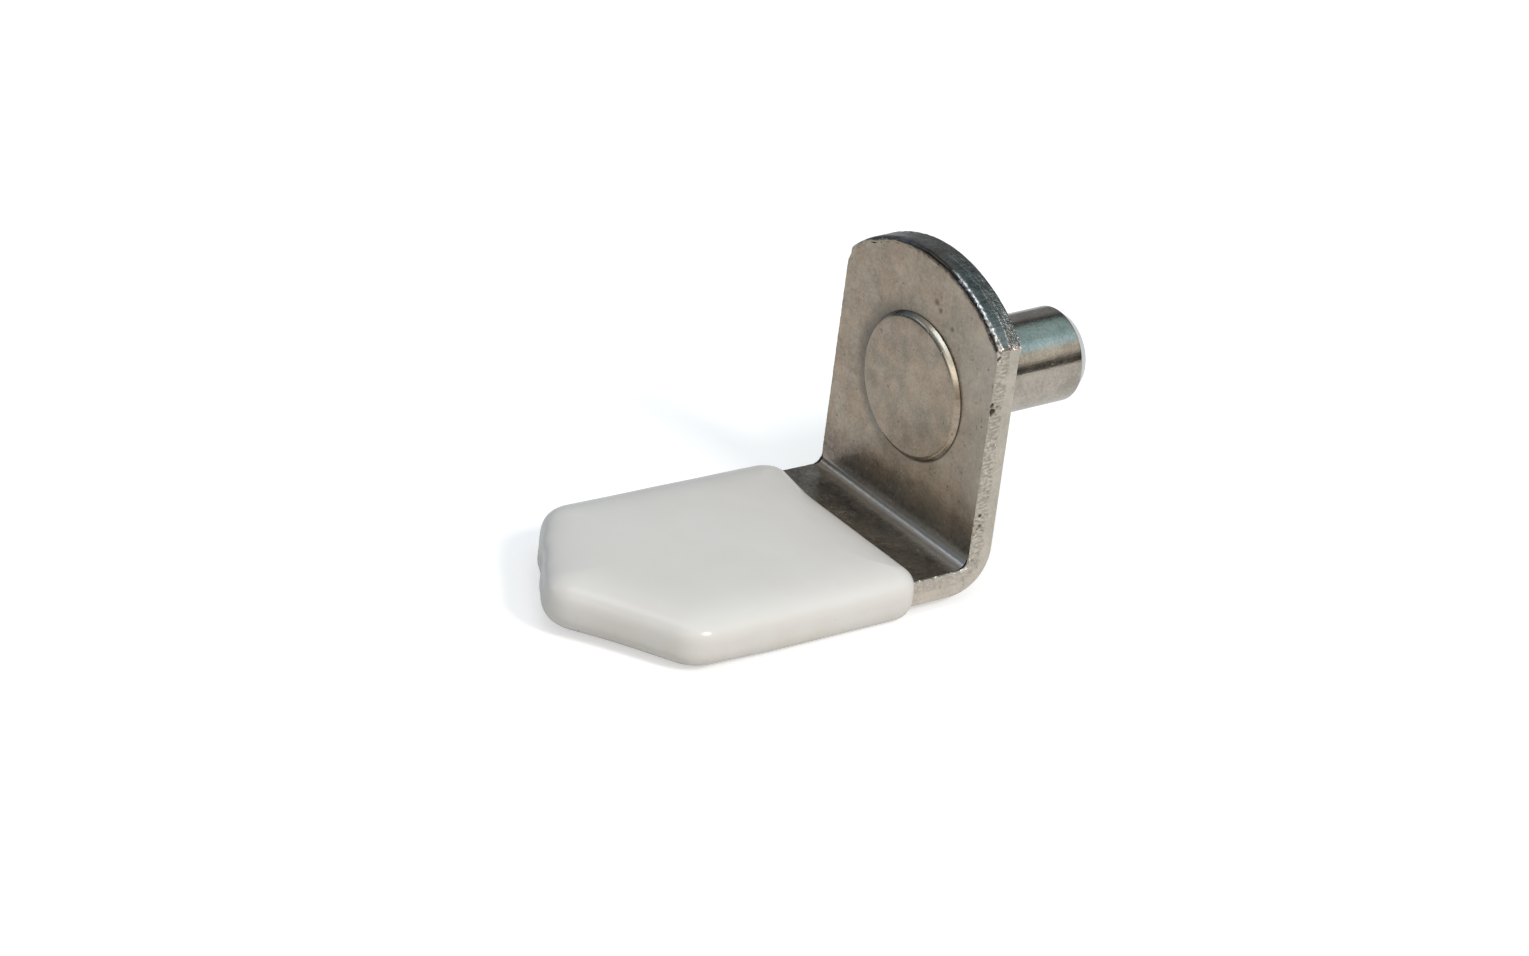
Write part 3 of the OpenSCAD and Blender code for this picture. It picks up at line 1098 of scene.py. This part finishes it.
def bracket_nickel():
    """Dull nickel on the sheet, brighter on its cut edges, and rough where they tore."""
    s = Shader("bracket_nickel")
    depth, height = s.axis("Y"), s.axis("Z")
    edge = s.add("Attribute", attribute_name="edge").outputs["Fac"]
    cut = s.rise(edge, *CUT_FROM)
    torn = s.rise(edge, *TORN_FROM)
    nick = s.rise(edge, *NICK_FROM)
    crown = s.product(cut, s.rise(height, *beyond(SIDE_TOP, *CROWN_ABOVE)))
    bent, sheen, corner = bend_marks(s)
    dark_reflection, roll = crown_masks(s)
    tongue = s.fall(depth, *beyond(-SHEET_T, *TONGUE_FROM))
    tongue_glint = s.fall(away_from(s, TONGUE_GLINT, TONGUE_GLINT_SIZE), *TONGUE_GLINT_FADE)
    chatter = tone(s, s.noise(CHATTER_NOISE, CHATTER), *TORN)
    scaly = s.product(torn, s.span(height, *beyond(TONGUE_LOW, *TORN_ABOVE)))
    coats = [
        (dots(s, SHEET_DOTS), STAIN),
        (tongue, bright_tone(s, TONGUE)),
        (face_marks(s), STAIN),
        # painted shade in the corner above the bend
        (corner, PAINTED_SHADE),
        # painted sheen along the bend and on the upright's right
        (sheen, PAINTED_SHEEN),
        # painted glint on the tongue
        (tongue_glint, PAINTED_HIGHLIGHT),
        # painted shade and painted shadow round the pin's head
        (shade_ring(s), PAINTED_SHADE),
        (cut, s.mix(scaly, bright_tone(s, CUT), chatter)),
        (crown, crown_tone(s)),
        # painted dark reflection along the crown's front
        (dark_reflection, GRIME_AND_DARK_REFLECTION),
        # painted highlight line on the crown's roll
        (roll, PAINTED_HIGHLIGHT),
        (nick, GRIME_AND_DARK_REFLECTION),
    ]
    colour = s.cover(dull_tone(s), coats)
    gloss = s.math("ADD", s.patches(GLOSS, PLATE_GLOSS), s.product(bent, BEND_GLOSS))
    gloss = s.blend(crown, gloss, s.span(edge, *FLAT_FROM, *CROWN_GLOSS))
    gloss = s.blend(nick, s.blend(torn, gloss, TORN_GLOSS), NICK_GLOSS)
    streaks = s.product(s.noise(CROWN_STREAKS[0], PUNCHED), crown)
    relief = s.bump(streaks, *PUNCH_RELIEF, dull_relief(s))
    relief = s.bump(s.product(s.noise(TORN_NOISE), torn), *TORN_RELIEF, relief)
    return s.finish({"Base Color": colour, "Metallic": 1.0, "Roughness": gloss, "Normal": relief})


# Where the shank sets in along the pin, and the share of the dots on the head
SHANK_FROM = (-1.0, -0.5)
HEAD_DOTS = 0.5
# Rim of the head, with painted shade at its left and a painted glint at its upper right: reach from its
# outline, with its share, and the heights from which the glint is painted
RIM_FROM = (-0.30, -0.16, 0.6)
GLINT_ABOVE = (1.2, 2.0)
# Painted highlight on the lead-in: border along the pin, with its share, and border round the end face
LEAD_FROM = (-0.04, 0.04, 0.9)
NOSE_FROM = (-0.12, 0.0)
# Roughness of head and shank, and its unevenness
PIN_GLOSS = (0.25, 0.145)
PIN_UNEVEN = (0.3, 0.7, -0.03, 0.05)
# Streaks, grain and pits: noises, depths with strengths, and shares of the last two on head and shank
DRAWN_NOISE = (1.0, 4.0, 0.6)
DRAWN_RELIEF = (0.008, 0.6)
GRAIN_NOISE = (7.0, 3.0, 0.6)
GRAIN_RELIEF = (0.009, 0.6)
GRAIN_SHARES = (1.0, 0.7)
PIN_PIT_RELIEF = (0.03, 0.6)
PIT_SHARES = (1.0, 0.2)


def pin_nickel():
    """Bright drawn shank with fine streaks along it, and a head as dull as the sheet."""
    s = Shader("pin_nickel")
    along = s.axis("Y")
    shank = s.rise(along, *SHANK_FROM)
    radius, left = head_radius(s)
    rim = s.rise(radius, *beyond(HEAD_R, *RIM_FROM))
    upper = s.rise(s.axis("Z"), *GLINT_ABOVE)
    lead = s.rise(along, *beyond(PIN_HIGH[1] - PIN_LEAD, *LEAD_FROM))
    off_axis = away_from(s, (0.0, 0.0, 0.0), FROM_Y_AXIS)
    outside = s.rise(off_axis, *beyond(PIN_R - PIN_LEAD_DEPTH, *NOSE_FROM))
    coats = [
        (dots(s, HEAD_DOTS), STAIN),
        # painted shade on the left of the head's rim
        (s.product(rim, left), PAINTED_SHADE),
        # painted glint on the upper right of the head's rim
        (s.product(rim, s.math("SUBTRACT", 1.0, left), upper), PAINTED_GLINT),
        (shank, bright_tone(s, SHANK)),
        # painted highlight on the lead-in
        (s.product(lead, outside), PAINTED_HIGHLIGHT),
    ]
    colour = s.cover(dull_tone(s), coats)
    gloss = s.math("ADD", s.patches(GLOSS, PIN_UNEVEN), s.blend(shank, *PIN_GLOSS))
    streaks = s.product(s.noise(DRAWN_NOISE, DRAWN), shank)
    grain = s.product(s.noise(GRAIN_NOISE), s.blend(shank, *GRAIN_SHARES))
    relief = s.bump(grain, *GRAIN_RELIEF, s.bump(streaks, *DRAWN_RELIEF))
    pits = s.product(s.patches(*PITS), s.blend(shank, *PIT_SHARES))
    relief = s.bump(pits, *PIN_PIT_RELIEF, relief)
    return s.finish({"Base Color": colour, "Metallic": 1.0, "Roughness": gloss, "Normal": relief})


# Vinyl: its two tones with the noise between them, and the coats of soil and specks on its lower part
VINYL_TONES = [(0.35, (0.715, 0.695, 0.66)), (0.65, (0.735, 0.722, 0.69))]
VINYL_CLOUDS = (0.22, 3.0, 0.5)
SOIL = (0.69, 0.65, 0.58)
SOIL_PATCHES = (0.8, 4.0, 0.6), (0.42, 0.66, 0.12, 0.75)
SPECK = (0.42, 0.36, 0.28)
SPECK_PATCHES = (1.7, 1.5, 0.5), (0.72, 0.77, 0.0, 0.5)
# Heights at which the soil begins and is full, from the top and the underside of the tongue
SOIL_TOP = 0.1
SOIL_FULL = 0.3
# Roughness, waves with their depth and strength, and how far light goes into it
VINYL_GLOSS = (0.9, 3.0, 0.5), (0.3, 0.7, 0.19, 0.26)
VINYL_WAVES = (1.6, 2.0, 0.5)
VINYL_RELIEF = (0.006, 0.3)
VINYL_DEPTH = 0.5


def vinyl():
    """Soft white vinyl, a little yellowed and soiled along its lower edges."""
    s = Shader("white_vinyl")
    low = s.rise(s.axis("Z"), TONGUE_TOP + SOIL_TOP, TONGUE_LOW + SOIL_FULL)
    soil = s.product(low, s.patches(*SOIL_PATCHES))
    specks = s.product(s.patches(*SPECK_PATCHES), low)
    colour = s.ramp(s.noise(VINYL_CLOUDS), VINYL_TONES)
    return s.finish(
        {
            "Base Color": s.cover(colour, [(soil, SOIL), (specks, SPECK)]),
            "Roughness": s.patches(*VINYL_GLOSS),
            "Normal": s.bump(s.noise(VINYL_WAVES), *VINYL_RELIEF),
            "Subsurface Weight": 0.25,
            "Subsurface Radius": (1.0, 0.95, 0.85),
            "Subsurface Scale": VINYL_DEPTH * MM,
            "IOR": 1.45,
        }
    )


# White sheet under the part: its half width in metres, its tone, its own glow, and the share of that glow
# in its mirror image, which falls off in millimetres from a point on the lit side
FLOOR_SIZE = 4.0
FLOOR_TONE = (0.66, 0.66, 0.66)
FLOOR_GLOW = 0.52
LIT_POINT = (8.0, -4.0, 0.0)
LIT_REACH = (4.0, 28.0)
LIT_SHARE = (0.37, 0.21)
FLOOR_FADE = (120.0, 400.0)


def make_floor():
    """The white sheet, which the camera sees as white and the metal mirrors as a pale grey."""
    mesh = bpy.data.meshes.new("floor")
    signs = ((-1, -1), (1, -1), (1, 1), (-1, 1))
    corners = [(x * FLOOR_SIZE, y * FLOOR_SIZE, 0.0) for x, y in signs]
    mesh.from_pydata(corners, [], [(0, 1, 2, 3)])
    floor = put("floor", mesh)
    floor.location.z = FLOOR_Z * MM
    s = Shader("floor_white")
    path = s.add("LightPath").outputs
    away = s.vector("DISTANCE", s.millimetres(), LIT_POINT, "Value")
    mirrored = s.math("MAXIMUM", path["Is Glossy Ray"], path["Is Transmission Ray"])
    mirrored = s.product(mirrored, s.span(away, *LIT_REACH, *LIT_SHARE), s.fall(away, *FLOOR_FADE))
    seen = s.math("MAXIMUM", path["Is Camera Ray"], mirrored)
    s.finish(
        {
            "Base Color": (*FLOOR_TONE, 1.0),
            "Roughness": 1.0,
            "Specular IOR Level": 0.0,
            "Emission Color": (1.0, 1.0, 1.0, 1.0),
            "Emission Strength": s.product(seen, FLOOR_GLOW),
        }
    )
    mesh.materials.append(s.data)


# Colours of the room that the metal mirrors
TEAL = (0.38, 0.57, 0.63)
CEILING = (0.37, 0.375, 0.37)
GLOOM = (0.20, 0.205, 0.215)
DUSK = (0.245, 0.255, 0.275)
SHADE = (0.065, 0.065, 0.063)
DIM = (0.15, 0.225, 0.32)
LAMP = (1.30, 1.32, 1.35)
WALL = (0.36, 0.36, 0.36)
SILL = (0.07, 0.069, 0.064)
WARM = (0.50, 0.46, 0.41)
LOW_PALE = (0.66, 0.63, 0.60)
PANEL = (1.42, 1.38, 1.30)
SKY = (0.58, 0.88, 1.05)
PANE = (0.70, 0.68, 0.625)
ROOM = [(0.0, GLOOM), (0.5, GLOOM), (0.8, CEILING)]
# Colours of its sides by height
RIGHT_FRONT = [(0.0, WARM), (0.34, WARM), (0.44, PANEL), (0.64, PANEL), (0.76, WARM), (0.9, CEILING)]
REAR = [(0.0, LOW_PALE), (0.28, LOW_PALE), (0.45, GLOOM), (0.68, TEAL), (0.9, TEAL), (1.0, CEILING)]
WINDOW = [(0.0, SILL), (0.20, SILL), (0.38, PANE), (0.54, PANE), (0.68, SKY), (0.73, SKY), (0.78, TEAL)]
LEFT_REAR = [(0.0, DUSK), (0.48, DUSK), (0.60, SHADE), (0.66, SHADE), (0.78, TEAL)]
LEFT_FRONT = [(0.0, SHADE), (0.20, SHADE), (0.34, DIM), (0.58, DIM), (0.68, GLOOM), (0.85, CEILING)]
LAMP_SIDE = [(0.0, SHADE), (0.20, SHADE), (0.34, DIM), (0.49, DIM), (0.54, LAMP), (0.62, LAMP), (0.68, GLOOM)]
LEFT = [(0.0, SHADE), (0.40, DIM), (0.62, DUSK), (0.82, WALL), (0.90, CEILING)]
LEFT_WALL = [(0.0, DUSK), (0.50, DUSK), (0.58, WALL), (0.80, WALL), (0.90, CEILING)]
# Sides: the way to each, the cosines between which it fades in, and its colours
SIDES = [
    ((0.90, -0.43, 0.0), (0.50, 0.85), RIGHT_FRONT),
    ((0.0, 1.0, 0.0), (0.50, 0.80), REAR),
    ((0.80, 0.60, 0.0), (0.55, 0.85), WINDOW),
    ((-0.65, 0.76, 0.0), (0.60, 0.85), LEFT_REAR),
    ((-0.77, -0.64, 0.0), (0.50, 0.80), LEFT_FRONT),
    ((-0.81, -0.59, 0.0), (0.93, 0.98), LAMP_SIDE),
    ((-0.98, -0.17, 0.0), (0.92, 0.98), LEFT),
    ((-0.93, 0.36, 0.0), (0.965, 0.99), LEFT_WALL),
]
# Pale middle of the ceiling, and the heights between which it fades in
ZENITH = (0.75, 0.74, 0.70)
ZENITH_FADE = (0.88, 0.96)
# What the camera sees of the room itself
BACKDROP = (0.94, 0.94, 0.94)


def make_world():
    """A room with a window at the right rear, a panel at the right front and a lamp at the dim left."""
    s = Shader("studio", world=True)
    way = s.add("TexCoord").outputs["Generated"]
    height = s.add("SeparateXYZ", {"Vector": way}).outputs["Z"]
    flat = s.vector("NORMALIZE", s.vector("MULTIPLY", way, (1.0, 1.0, 0.0)))
    sky = s.ramp(height, ROOM)
    for facing, (low, high), stops in SIDES:
        turned = s.vector("DOT_PRODUCT", flat, facing, "Value")
        sky = s.mix(s.rise(turned, low, high), sky, s.ramp(height, stops))
    sky = s.mix(s.rise(height, *ZENITH_FADE), sky, ZENITH)
    sky = s.mix(s.add("LightPath").outputs["Is Camera Ray"], sky, BACKDROP)
    background = s.add("Background", {"Color": sky, "Strength": 1.0})
    output = s.add("OutputWorld")
    s.tree.links.new(background.outputs["Background"], output.inputs["Surface"])
    bpy.context.scene.world = s.data


# Lights: name, way to it, distance and size in metres, radiance and colour
LIGHTS = (
    ("key", (0.724, 0.12, 0.675), 0.6, (0.126, 0.126), 27.0, (1.0, 0.91, 0.87)),
    ("soft", (0.15, -0.20, 0.97), 0.6, (0.55, 0.22), 1.2, (0.80, 0.92, 1.08)),
)
# Energy per square metre of a light with a radiance of 1
ENERGY_PER_RADIANCE = 4.0


def facing(across, back, place):
    """Turn and place of what looks away from back, with its own x along across."""
    return Matrix.Translation(place) @ Matrix((across, back.cross(across), back)).transposed().to_4x4()


def make_light(name, direction, distance, size, radiance, colour):
    """A soft light that faces the part, with its width along x and its brightness as a radiance."""
    lamp = bpy.data.lights.new(name, "AREA")
    lamp.shape = "RECTANGLE"
    lamp.size, lamp.size_y = size
    lamp.energy = ENERGY_PER_RADIANCE * radiance * size[0] * size[1]
    lamp.color = colour
    way = Vector(direction).normalized()
    across = (Vector((1.0, 0.0, 0.0)) - way * way.x).normalized()
    put(name, lamp).matrix_world = facing(across, way, way * distance)


def make_camera():
    """The camera that was fitted to the photograph."""
    az, el, roll = (math.radians(a) for a in (CAMERA_AZ, CAMERA_EL, CAMERA_ROLL))
    back = Vector((math.sin(az) * math.cos(el), -math.cos(az) * math.cos(el), math.sin(el)))
    right = Vector((math.cos(az), math.sin(az), 0.0))
    up = back.cross(right)
    turned = math.cos(roll) * right + math.sin(roll) * up
    camera = put("camera", bpy.data.cameras.new("camera"))
    camera.matrix_world = facing(turned, back, (CAMERA_TARGET + back * CAMERA_DISTANCE) * MM)
    camera.data.sensor_fit = "HORIZONTAL"
    camera.data.sensor_width = SENSOR_MM
    camera.data.lens = FOCAL_PX / PHOTO_W * SENSOR_MM
    camera.data.clip_start = CLIP_START
    bpy.context.scene.camera = camera


def dress(piece, material, node):
    """Puts a finished piece in the place of its CAD node."""
    piece.data.materials.clear()
    piece.data.materials.append(material)
    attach(piece, "root")
    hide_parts(node)


bpy.context.scene.view_settings.view_transform = "Standard"
make_camera()
make_world()
for light in LIGHTS:
    make_light(*light)
make_floor()
dress(make_bracket(), bracket_nickel(), "bracket")
dress(make_pin(), pin_nickel(), "pin")
dress(make_sleeve(), vinyl(), "cushion_sleeve")
